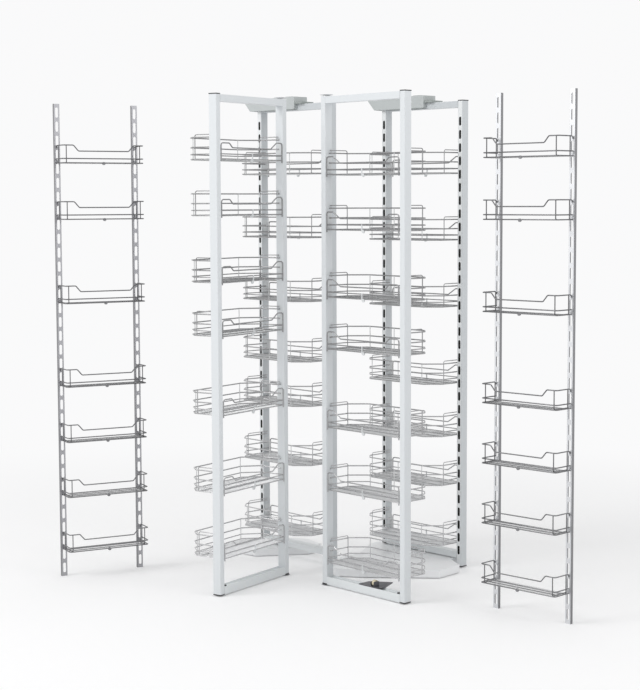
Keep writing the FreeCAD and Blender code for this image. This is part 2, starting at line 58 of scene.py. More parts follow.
TUBE_WIDTH = 0.025
TUBE_DEEP = 0.036
TUBE_ROUND = 0.0026
POST_SPACING = 0.427
FRAME_HIGH = 1.900
FLOOR_GAP = 0.004           # between a front frame and the floor, and the same at its head
PIN = 0.005                 # radius of the pivot pins
PIN_REACH = 0.012
PIN_SEAT = 0.0006
REAR_PINS = ((0.035, 0.051), (1.914, 1.930))    # foot and head pins of the rear frames

# Turned outlines as (radius, height): up from the floor at the foot, down from the top at the head.
DISC_TOP = 0.0022
DISC_RIM = [(0.0, 0.0), (0.026, 0.0), (0.026, 0.0012), (0.019, DISC_TOP), (0.0, DISC_TOP)]
DISC_RING = [(0.0, DISC_TOP), (0.0235, DISC_TOP), (0.0220, 0.0031), (0.012, FLOOR_GAP - PIN_SEAT),
             (0.0, FLOOR_GAP - PIN_SEAT)]
HEAD_FLARE = [(0.0, 0.0), (0.027, 0.0), (0.026, -0.0010), (0.016, -0.0022),
              (0.009, PIN_SEAT - FLOOR_GAP), (0.0, PIN_SEAT - FLOOR_GAP)]

HOUSING_LOW = FRAME_HIGH - 0.024
HOUSING_HIGH = FRAME_HIGH + 0.026
HOUSING_END = 0.242         # where the slide leaves the housing
STRIP_START = 0.05
STRIP_INNER = 0.0195
STRIP_OUTER = 0.0365
STRIP_THICK = 0.0018
ROOF_STOP = (0.045, 0.030, 0.003)
ROOF_STOP_AT = 0.185

SLOT_FIRST = 0.073
SLOT_COUNT = 34
SLOT_PITCH = (FRAME_HIGH - SLOT_FIRST - 0.085) / (SLOT_COUNT - 1)
SLOT_LONG = 0.036
SLOT_WIDE = 0.0118
# sizes of the black sheet of painted shade inside the slotted posts
SHADE_SHEET_THICK = 0.003
SHADE_SHEET_SET = 0.0032

BASKET_WIDE = POST_SPACING - TUBE_WIDTH
BASKET_DEEP = 0.160
BASKET_PLAY = 0.003
BASKET_FRONT = -0.014
BASKET_FOOT = -0.006        # where the ends of the front rail stop
BASKET_CUT = 0.058
BASKET_NICK = 0.038
BAND_HIGH = 0.022
SECOND_RAIL = 0.048
BACK_RAIL = 0.085
END_RAIL = 0.0955
DIP = 0.046
DIP_FROM, DIP_TO = 0.078, 0.324
PIVOT_SHOULDER = 0.071
PIVOT_SHOULDER_END = 0.038
FREE_SHOULDER = 0.063
FREE_SHOULDER_END = 0.343
FREE_CORNER = 0.005
POST_INSET = 0.010          # how far an upright wire stands from the corner of the rim
POST_FOOT = 0.003
UNDER_WIRES = (0.040, 0.100)

RAIL_WIRE = 0.0025          # radii of the wires
RIM_WIRE = 0.85 * RAIL_WIRE
POST_WIRE = 0.0018
FLOOR_WIRE = 0.0009
FLOOR_PITCH = 0.0060
RAIL_BEND, RIM_BEND, POST_BEND, FLOOR_BEND = 0.010, 0.008, 0.007, 0.003

HOOK_PLATE = (0.028, 0.060, 0.005)      # width, depth and corner radius, as are STRAP and TAB
HOOK_THICK = 0.0016
HOOK_AT = Vector((0, -0.001, 0.040))
STRAP = (0.0055, 0.003, 0.0012)
TAB = (0.013, 0.013, 0.0063)
TAB_THICK = 0.005

RACK_SPACING = 0.325
RACK_HIGH = 1.883
UPRIGHT_WIDE = 0.022
UPRIGHT_DEEP = 0.012
UPRIGHT_WALL = 0.0015
RACK_SLOT_LONG = 0.040
RACK_SLOT_WIDE = 0.0115
DOOR_DEEP = 0.092
DOOR_OVER = 0.004           # how far a door basket reaches past the middle of its uprights
DOOR_SHOULDER = 0.071
DOOR_SHOULDER_END = 0.042
DOOR_DIP = 0.048
DOOR_DIP_FROM = 0.062
DOOR_MID_RAIL = 0.019
DOOR_HOOK = 0.010
DOOR_HOOP_INSET = 0.014
DOOR_UNDER_WIRES = (0.03, 0.06)
DOOR_WIRE = 0.0023
DOOR_BEND, HOOP_BEND = 0.009, 0.006
DOOR_TAB = (0.013, 0.012, 0.0058)
DOOR_TAB_AT = 0.006
DOOR_FIRST = 0.109
DOOR_PITCH = 0.055
DOOR_STEPS = (0, 4, 8, 12, 18, 24, 28)

BACKDROP = (0.955, 0.955, 0.96)
PAPER = (0.93, 0.93, 0.935)
PAPER_REACH = 60.0
PAPER_FADE = (1.2, 4.0)     # distances between which the paper turns into the backdrop
FLOOR_LIFT = 0.12
WORLD_LIGHT = 0.62
LAMPS = (("key", (-6.4, -3.0, 5.4), 4.5, 240), ("fill", (3.6, -3.0, 3.0), 3.0, 38),
         ("top", (0, 1.0, 5.0), 4.0, 15))       # name, place, width and watts
LAMP_AIM = Vector((0, 0, 0.9))
LENS = 92.295               # in mm, on a sensor 36 mm wide
SENSOR = 36.0
EYE = Vector((0, -6.261, 1.4998))
PITCH, ROLL = -5.024, -0.224


# ---------------------------------------------------------------- shader effects and finishes

def effect(name, inputs, outputs):
    """An empty shader group with named sockets: inputs as (name, default)."""
    group = bpy.data.node_groups.new(name, "ShaderNodeTree")
    for label, start in inputs:
        socket = group.interface.new_socket(label, in_out="INPUT", socket_type="NodeSocketFloat")
        socket.default_value = start
    for label, kind in outputs:
        group.interface.new_socket(label, in_out="OUTPUT", socket_type=kind)
    return group, group.nodes.new("NodeGroupInput"), group.nodes.new("NodeGroupOutput")


def build_fine_grain():
    """A small uneven mask in object space, for roughness and colour that are never quite even."""
    group, start, end = effect("fine_grain", (("Scale", 40.0), ("Low", 0.3), ("High", 0.4)),
                               (("Value", "NodeSocketFloat"), ("Height", "NodeSocketFloat")))
    place = group.nodes.new("ShaderNodeTexCoord")
    noise = group.nodes.new("ShaderNodeTexNoise")
    noise.inputs["Detail"].default_value = 3.0
    spread = group.nodes.new("ShaderNodeMapRange")
    link = group.links.new
    link(place.outputs["Object"], noise.inputs["Vector"])
    link(start.outputs["Scale"], noise.inputs["Scale"])
    link(noise.outputs["Fac"], spread.inputs["Value"])
    link(start.outputs["Low"], spread.inputs["To Min"])
    link(start.outputs["High"], spread.inputs["To Max"])
    link(spread.outputs["Result"], end.inputs["Value"])
    link(noise.outputs["Fac"], end.inputs["Height"])
    return group


def build_dust_and_bounce_light():
    """A mask that fades with height, for dust on low parts and for painted bounce light from the pale
    floor on low wires.
    """
    group, start, end = effect("dust_and_bounce_light", (("Reach", 0.15), ("Amount", 0.3)),
                               (("Mask", "NodeSocketFloat"),))
    place = group.nodes.new("ShaderNodeTexCoord")
    split = group.nodes.new("ShaderNodeSeparateXYZ")
    fade = group.nodes.new("ShaderNodeMapRange")
    scale = group.nodes.new("ShaderNodeMath")
    scale.operation = "MULTIPLY"
    link = group.links.new
    link(place.outputs["Object"], split.inputs[0])
    link(split.outputs["Z"], fade.inputs["Value"])
    link(start.outputs["Reach"], fade.inputs["From Max"])
    fade.inputs["To Min"].default_value = 1.0
    fade.inputs["To Max"].default_value = 0.0
    link(fade.outputs["Result"], scale.inputs[0])
    link(start.outputs["Amount"], scale.inputs[1])
    link(scale.outputs[0], end.inputs["Mask"])
    return group


GRAIN = build_fine_grain()
DUST_AND_BOUNCE = build_dust_and_bounce_light()
PEEL_SCALE = 900.0
PEEL_HIGH = 0.0002


def finish(name, colour, low, high, metal=0.0, grain=60.0, peel=0.0, dust_and_bounce=0.0,
           dust_and_bounce_colour=(0.6, 0.6, 0.58), reach=0.15):
    """A finish with a roughness between low and high, with orange peel where peel is given.

    Towards the floor, up to the height of reach, its colour turns towards a second colour: darker dust
    on the paint, and painted bounce light from the pale floor on the wires.
    """
    material = bpy.data.materials.new(name)
    material.use_nodes = True
    nodes, link = material.node_tree.nodes, material.node_tree.links.new
    shader = nodes["Principled BSDF"]
    shader.inputs["Metallic"].default_value = metal
    rough = nodes.new("ShaderNodeGroup")
    rough.node_tree = GRAIN
    rough.inputs["Scale"].default_value = grain
    rough.inputs["Low"].default_value = low
    rough.inputs["High"].default_value = high
    link(rough.outputs["Value"], shader.inputs["Roughness"])
    # near the floor the second colour is mixed in: dust on the paint, painted bounce light on the wires
    if dust_and_bounce:
        dust_and_bounce_veil = nodes.new("ShaderNodeGroup")
        dust_and_bounce_veil.node_tree = DUST_AND_BOUNCE
        dust_and_bounce_veil.inputs["Amount"].default_value = dust_and_bounce
        dust_and_bounce_veil.inputs["Reach"].default_value = reach
        blend = nodes.new("ShaderNodeMix")
        blend.data_type = "RGBA"
        blend.inputs["A"].default_value = (*colour, 1)
        blend.inputs["B"].default_value = (*dust_and_bounce_colour, 1)
        link(dust_and_bounce_veil.outputs["Mask"], blend.inputs["Factor"])
        link(blend.outputs["Result"], shader.inputs["Base Color"])
    else:
        shader.inputs["Base Color"].default_value = (*colour, 1)
    if peel:
        skin = nodes.new("ShaderNodeGroup")
        skin.node_tree = GRAIN
        skin.inputs["Scale"].default_value = PEEL_SCALE
        bump = nodes.new("ShaderNodeBump")
        bump.inputs["Strength"].default_value = peel
        bump.inputs["Distance"].default_value = PEEL_HIGH
        link(skin.outputs["Height"], bump.inputs["Height"])
        link(bump.outputs["Normal"], shader.inputs["Normal"])
    return material


PAINTED_BOUNCE_LIGHT = (0.80, 0.80, 0.81)         # painted bounce light: the colour that low wires turn to near the pale floor

FINISH = {
    "frame": finish("frame_powder_coat", (0.76, 0.79, 0.81), 0.30, 0.40, peel=0.15, dust_and_bounce=0.05),
    # the rear frames have one paint: the slotted faces take a lighter copy (painted light), the other
    # faces and the top rails a darker copy (painted shade)
    "rear": finish("rear_powder_coat_painted_shade", (0.62, 0.65, 0.67), 0.30, 0.40, peel=0.15, dust_and_bounce=0.05),
    "slotted_lit": finish("rear_slotted_face_painted_light", (0.84, 0.86, 0.87), 0.30, 0.40, peel=0.15, dust_and_bounce=0.05),
    "rail": finish("foot_rail_coat", (0.80, 0.83, 0.84), 0.35, 0.45, peel=0.1),
    "base": finish("floor_base_coat", (0.92, 0.93, 0.94), 0.35, 0.45, peel=0.15),
    "housing": finish("top_housing_coat", (0.52, 0.55, 0.55), 0.35, 0.45, peel=0.1),
    "slide": finish("slide_dark_grey", (0.33, 0.36, 0.35), 0.35, 0.45, metal=0.3),
    # the wires turn paler towards the floor: painted bounce light from the pale floor, not dust
    "wire": finish("bright_wire", (0.32, 0.32, 0.325), 0.22, 0.34, metal=1.0, grain=30.0,
                   dust_and_bounce=0.55, dust_and_bounce_colour=PAINTED_BOUNCE_LIGHT, reach=1.25),
    "mesh": finish("fine_floor_wire", (0.66, 0.67, 0.67), 0.30, 0.42, metal=0.7, grain=30.0,
                   dust_and_bounce=0.8, dust_and_bounce_colour=PAINTED_BOUNCE_LIGHT, reach=1.25),
    "door_wire": finish("bright_door_wire", (0.17, 0.17, 0.175), 0.22, 0.34, metal=1.0, grain=30.0,
                        dust_and_bounce=0.1, dust_and_bounce_colour=PAINTED_BOUNCE_LIGHT, reach=1.25),
    "rack": finish("rack_zinc", (0.74, 0.75, 0.77), 0.42, 0.50, metal=0.9, grain=25.0),
    # the left rack's uprights: the same zinc as the right rack made darker, painted shade
    "rack_shaded": finish("rack_zinc_painted_shade", (0.44, 0.44, 0.46), 0.42, 0.50, metal=0.9, grain=25.0),
    # the folded sides of the uprights: the same zinc made darker, painted shade on the sides; the door
    # tabs take it too
    "rack_shaded_edge": finish("rack_folded_edge_painted_shade", (0.27, 0.27, 0.28), 0.42, 0.50, metal=0.9, grain=25.0),
    "fitting": finish("fitting_zinc", (0.60, 0.61, 0.62), 0.28, 0.40, metal=0.9),
    "socket": finish("pivot_socket_dark", (0.20, 0.20, 0.21), 0.35, 0.50, metal=0.8),
    "flange": finish("head_flange_white", (0.86, 0.87, 0.88), 0.30, 0.40),
    "black": finish("cap_black", (0.018, 0.018, 0.02), 0.40, 0.55),
    # painted shade: the hollow inside the slotted posts, seen through the slots
    "inside": finish("post_inside_dark", (0.006, 0.006, 0.006), 0.80, 0.90),
    "clip": finish("clip_light_grey", (0.70, 0.72, 0.73), 0.35, 0.45),
    "bracket": finish("bracket_dark_steel", (0.14, 0.14, 0.15), 0.32, 0.5, metal=0.8),
    "roller": finish("roller_cream", (0.80, 0.72, 0.52), 0.35, 0.5),
}


# ---------------------------------------------------------------- geometry node trees

def new_tree(name, inputs):
    """A geometry tree with a Geometry input and named sizes: inputs as (name, socket type, default)."""
    tree = bpy.data.node_groups.new(name, "GeometryNodeTree")
    tree.interface.new_socket("Geometry", in_out="INPUT", socket_type="NodeSocketGeometry")
    for label, kind, start in inputs:
        socket = tree.interface.new_socket(label, in_out="INPUT", socket_type=kind)
        if start is not None:
            socket.default_value = start
    tree.interface.new_socket("Geometry", in_out="OUTPUT", socket_type="NodeSocketGeometry")
    return tree, tree.nodes.new("NodeGroupInput"), tree.nodes.new("NodeGroupOutput")


def round_wire(tree, start, curve):
    """Adds the last steps of a wire: bends rounded, swept with a round section, material set."""
    nodes, link = tree.nodes, tree.links.new
    fillet = nodes.new("GeometryNodeFilletCurve")
    fillet.mode = "POLY"
    fillet.inputs["Count"].default_value = 3
    fillet.inputs["Limit Radius"].default_value = True
    section = nodes.new("GeometryNodeCurvePrimitiveCircle")
    sweep = nodes.new("GeometryNodeCurveToMesh")
    sweep.inputs["Fill Caps"].default_value = True
    smooth = nodes.new("GeometryNodeSetShadeSmooth")
    colour = nodes.new("GeometryNodeSetMaterial")
    link(curve, fillet.inputs["Curve"])
    link(start.outputs["Bend"], fillet.inputs["Radius"])
    link(start.outputs["Sides"], section.inputs["Resolution"])
    link(start.outputs["Radius"], section.inputs["Radius"])
    link(fillet.outputs["Curve"], sweep.inputs["Curve"])
    link(section.outputs["Curve"], sweep.inputs["Profile Curve"])
    link(sweep.outputs["Mesh"], smooth.inputs["Geometry"])
    link(smooth.outputs["Geometry"], colour.inputs["Geometry"])
    link(start.outputs["Material"], colour.inputs["Material"])
    return colour.outputs["Geometry"]


WIRE_SIZES = (("Radius", "NodeSocketFloat", 0.002), ("Bend", "NodeSocketFloat", 0.006),
              ("Sides", "NodeSocketInt", 8), ("Material", "NodeSocketMaterial", None))


def build_bent_wires():
    """Every chain of edges becomes a round wire with rounded bends."""
    tree, start, end = new_tree("bent_wires", WIRE_SIZES)
    curve = tree.nodes.new("GeometryNodeMeshToCurve")
    tree.links.new(start.outputs["Geometry"], curve.inputs["Mesh"])
    tree.links.new(round_wire(tree, start, curve.outputs["Curve"]), end.inputs["Geometry"])
    return tree


def build_floor_wires():
    """One straight floor wire repeated along the basket, cut short where the corners are cut off."""
    tree, start, end = new_tree("floor_wires", WIRE_SIZES + (
        ("Count", "NodeSocketInt", 10), ("Pitch", "NodeSocketFloat", 0.01),
        ("First", "NodeSocketFloat", 0.0), ("Back", "NodeSocketFloat", 0.1),
        ("Cut", "NodeSocketFloat", 0.0), ("Nick", "NodeSocketFloat", 0.0),
        ("Far end", "NodeSocketFloat", 0.3)))
    nodes, link = tree.nodes, tree.links.new

    def worked(kind, first, second):
        step = nodes.new("ShaderNodeMath")
        step.operation = kind
        for socket, source in zip(step.inputs, (first, second)):
            if isinstance(source, float):
                socket.default_value = source
            else:
                link(source, socket)
        return step.outputs[0]

    curve = nodes.new("GeometryNodeMeshToCurve")
    step = nodes.new("ShaderNodeCombineXYZ")
    origin = nodes.new("ShaderNodeCombineXYZ")
    line = nodes.new("GeometryNodeMeshLine")
    copies = nodes.new("GeometryNodeInstanceOnPoints")
    real = nodes.new("GeometryNodeRealizeInstances")
    spot = nodes.new("GeometryNodeInputPosition")
    parts = nodes.new("ShaderNodeSeparateXYZ")
    whole = nodes.new("ShaderNodeCombineXYZ")
    move = nodes.new("GeometryNodeSetPosition")
    link(start.outputs["Geometry"], curve.inputs["Mesh"])
    link(start.outputs["Pitch"], step.inputs["X"])
    link(start.outputs["First"], origin.inputs["X"])
    link(start.outputs["Count"], line.inputs["Count"])
    link(origin.outputs[0], line.inputs["Start Location"])
    link(step.outputs[0], line.inputs["Offset"])
    link(line.outputs["Mesh"], copies.inputs["Points"])
    link(curve.outputs["Curve"], copies.inputs["Instance"])
    link(copies.outputs["Instances"], real.inputs["Geometry"])
    link(spot.outputs[0], parts.inputs[0])
    near_loss = worked("MAXIMUM", worked("SUBTRACT", start.outputs["Cut"], parts.outputs["X"]), 0.0)
    far_gap = worked("SUBTRACT", start.outputs["Far end"], parts.outputs["X"])
    far_loss = worked("MAXIMUM", worked("SUBTRACT", start.outputs["Nick"], far_gap), 0.0)
    limit = worked("SUBTRACT", worked("SUBTRACT", start.outputs["Back"], near_loss), far_loss)
    link(parts.outputs["X"], whole.inputs["X"])
    link(worked("MINIMUM", parts.outputs["Y"], limit), whole.inputs["Y"])
    link(parts.outputs["Z"], whole.inputs["Z"])
    link(real.outputs["Geometry"], move.inputs["Geometry"])
    link(whole.outputs[0], move.inputs["Position"])
    link(round_wire(tree, start, move.outputs["Geometry"]), end.inputs["Geometry"])
    return tree


def build_punched_strip():
    """A flat strip in the XZ plane with a row of round-ended slots."""
    tree, start, end = new_tree("punched_strip", (
        ("Width", "NodeSocketFloat", 0.02), ("Pitch", "NodeSocketFloat", 0.05),
        ("Count", "NodeSocketInt", 30), ("First", "NodeSocketFloat", 0.1),
        ("Slot long", "NodeSocketFloat", 0.03), ("Slot wide", "NodeSocketFloat", 0.007),
        ("Material", "NodeSocketMaterial", None)))
    nodes, link = tree.nodes, tree.links.new
    plate = nodes.new("GeometryNodeCurvePrimitiveQuadrilateral")
    slot = nodes.new("GeometryNodeCurvePrimitiveQuadrilateral")
    half = nodes.new("ShaderNodeMath")
    half.operation = "MULTIPLY"
    half.inputs[1].default_value = 0.499
    ends = nodes.new("GeometryNodeFilletCurve")
    ends.mode = "POLY"
    ends.inputs["Count"].default_value = 4
    both = nodes.new("GeometryNodeJoinGeometry")
    fill = nodes.new("GeometryNodeFillCurve")
    fill.mode = "TRIANGLES"
    upright = nodes.new("GeometryNodeTransform")
    upright.inputs["Rotation"].default_value = (math.pi / 2, 0, 0)
    origin = nodes.new("ShaderNodeCombineXYZ")
    step = nodes.new("ShaderNodeCombineXYZ")
    line = nodes.new("GeometryNodeMeshLine")
    copies = nodes.new("GeometryNodeInstanceOnPoints")
    real = nodes.new("GeometryNodeRealizeInstances")
    weld = nodes.new("GeometryNodeMergeByDistance")
    weld.inputs["Distance"].default_value = 0.00005
    colour = nodes.new("GeometryNodeSetMaterial")
    link(start.outputs["Width"], plate.inputs["Width"])
    link(start.outputs["Pitch"], plate.inputs["Height"])
    link(start.outputs["Slot wide"], slot.inputs["Width"])
    link(start.outputs["Slot long"], slot.inputs["Height"])
    link(start.outputs["Slot wide"], half.inputs[0])
    link(slot.outputs["Curve"], ends.inputs["Curve"])
    link(half.outputs[0], ends.inputs["Radius"])
    link(plate.outputs["Curve"], both.inputs["Geometry"])
    link(ends.outputs["Curve"], both.inputs["Geometry"])
    link(both.outputs["Geometry"], fill.inputs["Curve"])
    link(fill.outputs["Mesh"], upright.inputs["Geometry"])
    link(start.outputs["First"], origin.inputs["Z"])
    link(start.outputs["Pitch"], step.inputs["Z"])
    link(start.outputs["Count"], line.inputs["Count"])
    link(origin.outputs[0], line.inputs["Start Location"])
    link(step.outputs[0], line.inputs["Offset"])
    link(line.outputs["Mesh"], copies.inputs["Points"])
    link(upright.outputs["Geometry"], copies.inputs["Instance"])
    link(copies.outputs["Instances"], real.inputs["Geometry"])
    link(real.outputs["Geometry"], weld.inputs["Geometry"])
    link(weld.outputs["Geometry"], colour.inputs["Geometry"])
    link(start.outputs["Material"], colour.inputs["Material"])
    link(colour.outputs["Geometry"], end.inputs["Geometry"])
    return tree


BENT_WIRES = build_bent_wires()
FLOOR_WIRES = build_floor_wires()
PUNCHED_STRIP = build_punched_strip()


# ---------------------------------------------------------------- meshes

def stand_in(mesh):
    """A passing object that carries a mesh while a modifier shapes it."""
    host = bpy.data.objects.new("host", mesh)
    bpy.context.collection.objects.link(host)
    return host


def evaluated(host):
    """The mesh that a stand-in's modifiers give. The stand-in is taken away."""
    mesh = bpy.data.meshes.new_from_object(host.evaluated_get(bpy.context.evaluated_depsgraph_get()))
    bpy.data.objects.remove(host)
    return mesh


def grown(tree, mesh, **sizes):
    """A mesh passed through a geometry tree with its inputs set."""
    host = stand_in(mesh)
    modifier = host.modifiers.new("shape", "NODES")
    modifier.node_group = tree
    sockets = {item.name: item.identifier for item in tree.interface.items_tree
               if item.in_out == "INPUT"}
    for label, size in sizes.items():
        modifier[sockets[label.replace("_", " ")]] = size
    return evaluated(host)


def chains(runs):
    """A mesh of loose edges: each run is a list of points, closed where its flag says so."""
    mesh = bpy.data.meshes.new("chains")
    spots, edges = [], []
    for points, closed in runs:
        first = len(spots)
        spots += points
        edges += [(first + i, first + i + 1) for i in range(len(points) - 1)]
        if closed:
            edges.append((len(spots) - 1, first))
    mesh.from_pydata(spots, edges, [])
    return mesh


def wires(runs, radius, bend=0.006, sides=8, material="wire"):
    """Round wires along runs of points, with every corner bent."""
    return grown(BENT_WIRES, chains(runs), Radius=radius, Bend=bend, Sides=sides,
                 Material=FINISH[material])


def prism(outline, low, high, material):
    """An outline in the XY plane raised from low to high."""
    mesh = bpy.data.meshes.new("prism")
    shape = bmesh.new()
    face = shape.faces.new([shape.verts.new((x, y, low)) for x, y in outline])
    top = bmesh.ops.extrude_face_region(shape, geom=[face])
    corners = [part for part in top["geom"] if isinstance(part, bmesh.types.BMVert)]
    bmesh.ops.translate(shape, vec=(0, 0, high - low), verts=corners)
    bmesh.ops.recalc_face_normals(shape, faces=shape.faces)
    shape.to_mesh(mesh)
    shape.free()
    mesh.materials.append(FINISH[material])
    return mesh


def rounded_box(wide, deep, radius, steps=3):
    """The outline of a rectangle about the origin with rounded corners."""
    outline = []
    for quarter, (side, front) in enumerate(((1, 1), (-1, 1), (-1, -1), (1, -1))):
        centre = (side * (wide / 2 - radius), front * (deep / 2 - radius))
        for step in range(steps + 1):
            angle = math.pi / 2 * (quarter + step / steps)
            outline.append((centre[0] + radius * math.cos(angle), centre[1] + radius * math.sin(angle)))
    return outline


def joined(meshes):
    """Several meshes as one, with their material slots kept."""
    mesh = bpy.data.meshes.new("joined")
    materials = []
    shape = bmesh.new()
    for part in meshes:
        slots = []
        for material in part.materials:
            if material not in materials:
                materials.append(material)
            slots.append(materials.index(material))
        known = len(shape.faces)
        shape.from_mesh(part)
        shape.faces.ensure_lookup_table()
        for face in shape.faces[known:]:
            face.material_index = slots[face.material_index] if slots else 0
    shape.to_mesh(mesh)
    shape.free()
    for material in materials:
        mesh.materials.append(material)
    return mesh


def moved(mesh, matrix):
    """A moved copy of a mesh, turned right side out again where it is mirrored."""
    copy = mesh.copy()
    copy.transform(matrix)
    if matrix.determinant() < 0:
        copy.flip_normals()
    return copy


def soft_edges(mesh, width, steps=2):
    """A copy of a solid with small rounded edges."""
    shape = bmesh.new()
    shape.from_mesh(mesh)
    bmesh.ops.remove_doubles(shape, verts=shape.verts, dist=0.00002)
    bmesh.ops.dissolve_limit(shape, angle_limit=math.radians(1), verts=shape.verts, edges=shape.edges)
    clean = bpy.data.meshes.new("clean")
    shape.to_mesh(clean)
    shape.free()
    for material in mesh.materials:
        clean.materials.append(material)
    host = stand_in(clean)
    bevel = host.modifiers.new("edges", "BEVEL")
    bevel.width = width
    bevel.segments = steps
    bevel.limit_method = "ANGLE"
    bevel.angle_limit = math.radians(40)
    bevel.harden_normals = False
    return evaluated(host)


# ---------------------------------------------------------------- pieces

def piece(name, mesh, body, nodes=()):
    """Puts a finished mesh on its body, in place of the nodes that it stands for."""
    item = bpy.data.objects.new(name, mesh)
    mesh.name = name
    bpy.context.collection.objects.link(item)
    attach(item, body)
    if nodes:
        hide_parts(*nodes)
    return item


def soften(node, body, material, width=0.0008):
    """The node's own shape with its sharp edges eased."""
    mesh = soft_edges(frame["nodes"][node].data, width)
    mesh.materials.clear()
    mesh.materials.append(FINISH[material])
    for face in mesh.polygons:
        face.material_index = 0
    return piece(f"{node}_eased", mesh, body, (node,))


PIVOT = {joint["name"][:-len("_swing")]: Vector(joint["pos_m"][:2])
         for joint in frame["joints"] if joint["name"].endswith("_swing")}


def turn(degrees, axis):
    return Matrix.Rotation(math.radians(degrees), 4, axis)


def frame_place(name):
    """The matrix from a swing frame's own axes, with the pivot at the origin, to the larder's."""
    return Matrix.Translation((*PIVOT[name], 0)) @ turn(FRAME_TURN[name], "Z")


def rack_place(name):
    """The matrix from a door rack's own axes, with its left upright at the origin, to the larder's."""
    foot = Vector(RACK_FOOT[name]) - PLAN_MID
    return Matrix.Translation((*foot, 0)) @ turn(RACK_TURN[name], "Z")


# ---------------------------------------------------------------- frame baskets

def basket_rim(level, front=BASKET_FRONT, inset=BASKET_PLAY):
    """The plan of a basket at one height, from the pivot post round the back to the free post."""
    back = BASKET_DEEP - inset
    near, far = inset, BASKET_WIDE - inset
    return [(near, front, level), (near, back - BASKET_CUT, level), (BASKET_CUT, back, level),
            (far - BASKET_NICK, back, level), (far, back - BASKET_NICK, level), (far, front, level)]


def frame_basket_wires():
    """The wires of a frame basket: rails, dipped front, end loops, uprights and the flat floor."""
    near, far = BASKET_PLAY, BASKET_WIDE - BASKET_PLAY
    back = BASKET_DEEP - RAIL_WIRE
    free_end = far - FREE_CORNER
    front = [(along, BASKET_FRONT, level) for along, level in (
        (near, BASKET_FOOT), (near, PIVOT_SHOULDER), (PIVOT_SHOULDER_END, PIVOT_SHOULDER),
        (DIP_FROM, DIP), (DIP_TO, DIP), (FREE_SHOULDER_END, FREE_SHOULDER),
        (free_end, FREE_SHOULDER), (free_end, BASKET_FOOT))]
    rails = wires([(basket_rim(BACK_RAIL, 0.0), False), (basket_rim(SECOND_RAIL, 0.0), False),
                   (front, False)], RAIL_WIRE, bend=RAIL_BEND)
    over_floor = FLOOR_WIRE * 2 + POST_WIRE
    rims = wires([(basket_rim(over_floor), True), (basket_rim(BAND_HIGH), True)], RIM_WIRE,
                 bend=RIM_BEND)
    inner = RAIL_WIRE + POST_WIRE
    loops = []
    for x, corner in ((near + inner, back - BASKET_CUT - POST_INSET),
                      (far - inner, back - BASKET_NICK - POST_INSET)):
        loops.append(([(x, 0.0, END_RAIL), (x, corner, END_RAIL), (x, corner, POST_FOOT)], False))
    stands = []
    for x in (BASKET_CUT + POST_INSET, BASKET_WIDE / 2, far - BASKET_NICK - POST_INSET):
        stands.append(([(x, back - inner, BACK_RAIL), (x, back - inner, POST_FOOT)], False))
    uprights = joined([wires(loops, POST_WIRE, bend=POST_BEND),
                       wires(stands, POST_WIRE, bend=POST_BEND, material="mesh")])
    inset = POST_WIRE + FLOOR_WIRE
    one = chains([([(0, BASKET_FRONT + inset, FLOOR_WIRE), (0, BASKET_DEEP, FLOOR_WIRE)], False)])
    floor = grown(FLOOR_WIRES, one, Radius=FLOOR_WIRE, Bend=FLOOR_BEND, Sides=5, Material=FINISH["mesh"],
                  Count=int((far - near) / FLOOR_PITCH), Pitch=FLOOR_PITCH, First=near + FLOOR_PITCH / 2,
                  Back=back - inset, Cut=BASKET_CUT, Nick=BASKET_NICK, Far_end=far)
    under = [([(near, y, over_floor), (far, y, over_floor)], False) for y in UNDER_WIRES]
    return joined([rails, rims, uprights, floor, wires(under, POST_WIRE)])


def frame_basket_clips():
    """The hook plates at the two posts and the strap and tab under the middle of the front edge."""
    plate = prism(rounded_box(*HOOK_PLATE), 0, HOOK_THICK, "clip")
    stand = turn(90, "Z") @ turn(90, "X")
    near = moved(plate, Matrix.Translation(HOOK_AT) @ stand)
    far = moved(plate, Matrix.Translation(HOOK_AT + Vector((BASKET_WIDE - HOOK_THICK, 0, 0))) @ stand)
    front = BASKET_FRONT - RAIL_WIRE
    tab = moved(prism(rounded_box(*TAB, 5), 0, TAB_THICK, "clip"),
                Matrix.Translation((BASKET_WIDE / 2 + 0.006, front + 0.003, -0.002)) @ turn(90, "X"))
    strap = moved(prism(rounded_box(*STRAP), -0.002, BAND_HIGH + 0.003, "clip"),
                  Matrix.Translation((BASKET_WIDE / 2 - 0.001, front, 0)))
    return joined([near, far, tab, strap])


def basket_place(name, low):
    """Where a basket of a frame hangs: mirrored on the left front, turned about on the rear frames."""
    if name == "front_left":
        seat = Matrix.Translation((TUBE_WIDTH / 2, 0, low)) @ Matrix.Scale(-1, 4, (0, 1, 0))
    elif name == "front_right":
        seat = Matrix.Translation((TUBE_WIDTH / 2, 0, low))
    else:
        seat = Matrix.Translation((POST_SPACING - TUBE_WIDTH / 2, 0, low)) @ turn(180, "Z")
    return frame_place(name) @ seat


def hang_frame_baskets():
    basket, clips = frame_basket_wires(), frame_basket_clips()
    for name in FRAME_TURN:
        body = f"{name}_swing_frame"
        for tier in range(1, TIERS + 1):
            node = f"{name}_basket_{tier}"
            place = basket_place(name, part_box(node)[0][2])
            piece(f"{node}_wires", moved(basket, place), body, (node,))
            piece(f"{node}_clips", moved(clips, place), body)


# ---------------------------------------------------------------- frames

def plain_post(low, high):
    """A closed tube with rounded corners."""
    return prism(rounded_box(TUBE_WIDTH, TUBE_DEEP, TUBE_ROUND), low, high, "frame")


